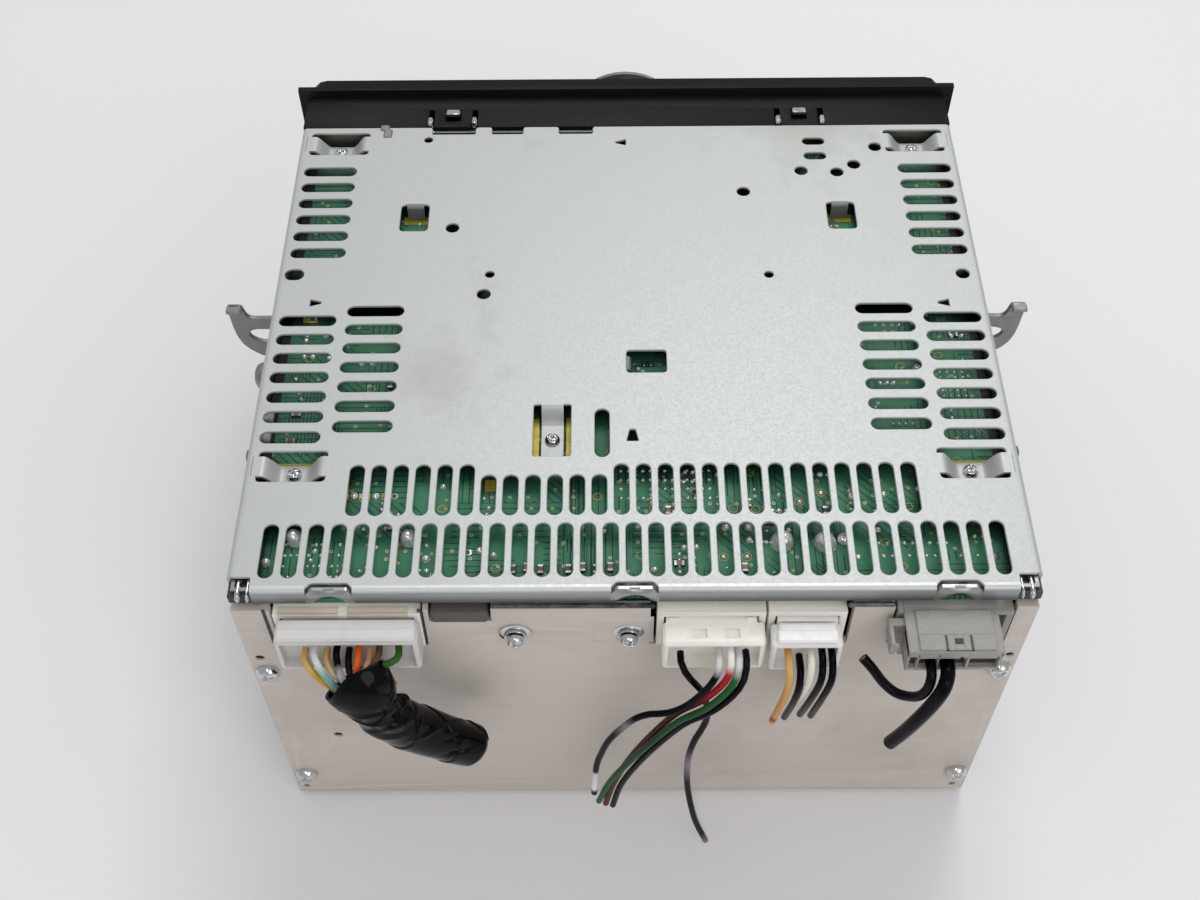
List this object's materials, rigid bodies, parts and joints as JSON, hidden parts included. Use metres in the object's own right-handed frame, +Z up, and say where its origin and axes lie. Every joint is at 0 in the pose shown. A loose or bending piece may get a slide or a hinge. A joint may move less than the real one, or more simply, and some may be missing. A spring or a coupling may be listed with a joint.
{
  "type": "car cd player",
  "caption": "Car CD player as a steel box with a slotted lower cover, a black faceplate with knob and buttons, rear connectors and cut wires.",
  "frame": {"origin": "on the resting face, under the middle of the steel body (halfway across its width and its depth)", "axes": "+Z up as it lies on its upper cover with the slotted lower cover on top, +Y towards the faceplate, +X to the right seen from behind"},
  "size_m": [0.2126, 0.1979, 0.1034],
  "materials": {
    "zinc_sheet": "pale grey-green zinc coated sheet steel, faint smudges",
    "bare_steel": "plain grey plated sheet steel",
    "bright_steel": "bright zinc plated",
    "brushed_aluminium": "warm light brushed aluminium",
    "black_plastic": "black moulded plastic, semi-matt",
    "ivory_plastic": "translucent ivory nylon",
    "grey_plastic": "mid grey moulded plastic",
    "dark_plastic": "dark grey moulded plastic",
    "board_green": "green solder mask",
    "smoked_window": "smoked acrylic",
    "rubber": "matt black rubber",
    "wire_cover": "satin PVC insulation in several colours",
    "black_tape": "glossy black vinyl tape",
    "silver_paint": "silver paint"
  },
  "bodies": {
    "player": {"bottom_cover": "zinc_sheet", "top_cover": "zinc_sheet", "chassis_frame": "bare_steel", "rear_heat_sink": "brushed_aluminium", "main_board": "board_green", "front_board": "board_green", "power_socket": "ivory_plastic", "audio_socket": "ivory_plastic", "control_socket": "ivory_plastic", "aerial_socket": "grey_plastic", "power_plug": "ivory_plastic", "audio_plug": "ivory_plastic", "control_plug": "ivory_plastic", "aerial_plug": "grey_plastic", "audio_wires": "wire_cover", "control_wires": "wire_cover", "aerial_wires": "wire_cover", "harness_wires": "wire_cover", "harness_tape": "black_tape", "fuse_block": "dark_plastic", "amplifier_chip": "dark_plastic", "tuner_module": "bright_steel", "corner_screw_upper_left": "bright_steel", "corner_screw_upper_right": "bright_steel", "corner_screw_lower_left": "bright_steel", "corner_screw_lower_right": "bright_steel", "heat_sink_screw_left": "bright_steel", "heat_sink_screw_right": "bright_steel", "left_mount_bracket": "bare_steel", "right_mount_bracket": "bare_steel", "guide_bolt": "bare_steel", "front_bezel": "black_plastic", "display_module": "dark_plastic", "display_window": "smoked_window", "encoder_body": "bare_steel", "deck_chassis": "bare_steel", "deck_cover": "bare_steel", "spindle_motor": "bright_steel", "guide_rod": "bright_steel", "sled_motor": "bright_steel"},
    "preset_button_1": {"preset_button_1": "black_plastic"},
    "preset_button_2": {"preset_button_2": "black_plastic"},
    "preset_button_3": {"preset_button_3": "black_plastic"},
    "preset_button_4": {"preset_button_4": "black_plastic"},
    "preset_button_5": {"preset_button_5": "black_plastic"},
    "preset_button_6": {"preset_button_6": "black_plastic"},
    "band_button": {"band_button": "black_plastic"},
    "disc_button": {"disc_button": "black_plastic"},
    "eject_button": {"eject_button": "black_plastic"},
    "seek_rocker": {"seek_rocker": "black_plastic"},
    "encoder_plunger": {"encoder_plunger": "bright_steel"},
    "volume_knob": {"volume_knob": "silver_paint", "knob_cap": "black_plastic", "encoder_shaft": "bright_steel"},
    "loading_roller": {"loading_roller": "rubber"},
    "turntable": {"turntable": "dark_plastic"},
    "pickup_sled": {"pickup_sled": "dark_plastic"},
    "lead_screw": {"lead_screw": "bright_steel"},
    "clamp_arm": {"clamp_arm": "bare_steel"},
    "clamp_puck": {"clamp_puck": "dark_plastic"}
  },
  "joints": [
    {"name": "preset_button_1_press", "type": "slide", "parent": "player", "child": "preset_button_1", "axis": [0, -1, 0], "range_m": [0, 0.0008], "stiffness_N_per_m": 400},
    {"name": "preset_button_2_press", "type": "slide", "parent": "player", "child": "preset_button_2", "axis": [0, -1, 0], "range_m": [0, 0.0008], "stiffness_N_per_m": 400},
    {"name": "preset_button_3_press", "type": "slide", "parent": "player", "child": "preset_button_3", "axis": [0, -1, 0], "range_m": [0, 0.0008], "stiffness_N_per_m": 400},
    {"name": "preset_button_4_press", "type": "slide", "parent": "player", "child": "preset_button_4", "axis": [0, -1, 0], "range_m": [0, 0.0008], "stiffness_N_per_m": 400},
    {"name": "preset_button_5_press", "type": "slide", "parent": "player", "child": "preset_button_5", "axis": [0, -1, 0], "range_m": [0, 0.0008], "stiffness_N_per_m": 400},
    {"name": "preset_button_6_press", "type": "slide", "parent": "player", "child": "preset_button_6", "axis": [0, -1, 0], "range_m": [0, 0.0008], "stiffness_N_per_m": 400},
    {"name": "band_button_press", "type": "slide", "parent": "player", "child": "band_button", "axis": [0, -1, 0], "range_m": [0, 0.0008], "stiffness_N_per_m": 400},
    {"name": "disc_button_press", "type": "slide", "parent": "player", "child": "disc_button", "axis": [0, -1, 0], "range_m": [0, 0.0008], "stiffness_N_per_m": 400},
    {"name": "eject_button_press", "type": "slide", "parent": "player", "child": "eject_button", "axis": [0, -1, 0], "range_m": [0, 0.0008], "stiffness_N_per_m": 400},
    {"name": "seek_rocker_tilt", "type": "hinge", "parent": "player", "child": "seek_rocker", "pos_m": [0.0545, 0.0884, 0.086], "axis": [0, 0, 1], "range_deg": [-2.4, 2.4], "stiffness_Nm_per_rad": 0.1},
    {"name": "knob_push", "type": "slide", "parent": "player", "child": "encoder_plunger", "axis": [0, -1, 0], "range_m": [0, 0.0005], "stiffness_N_per_m": 500},
    {"name": "knob_turn", "type": "hinge", "parent": "encoder_plunger", "child": "volume_knob", "pos_m": [0, 0.0921, 0.0814], "axis": [0, 1, 0], "continuous": true},
    {"name": "roller_spin", "type": "hinge", "parent": "player", "child": "loading_roller", "pos_m": [0, 0.064, 0.0286], "axis": [1, 0, 0], "continuous": true},
    {"name": "turntable_spin", "type": "hinge", "parent": "player", "child": "turntable", "pos_m": [0, 0.008, 0.0232], "axis": [0, 0, 1], "continuous": true},
    {"name": "clamp_arm_swing", "type": "hinge", "parent": "player", "child": "clamp_arm", "pos_m": [0, -0.058, 0.0121], "axis": [1, 0, 0], "range_deg": [0, 3.2]},
    {"name": "clamp_puck_spin", "type": "hinge", "parent": "clamp_arm", "child": "clamp_puck", "pos_m": [0, 0.008, 0.0121], "axis": [0, 0, 1], "continuous": true},
    {"name": "lead_screw_spin", "type": "hinge", "parent": "player", "child": "lead_screw", "pos_m": [-0.0215, -0.0015, 0.037], "axis": [0, 1, 0], "range_deg": [0, 3961]},
    {"name": "sled_travel", "type": "slide", "parent": "player", "child": "pickup_sled", "axis": [0, -1, 0], "range_m": [0, 0.033]}
  ],
  "couplings": [
    {"joint": "lead_screw_spin", "follows": "sled_travel", "rad_per_m": 2094.4},
    {"joint": "clamp_puck_spin", "follows": "turntable_spin", "ratio": 1}
  ]
}
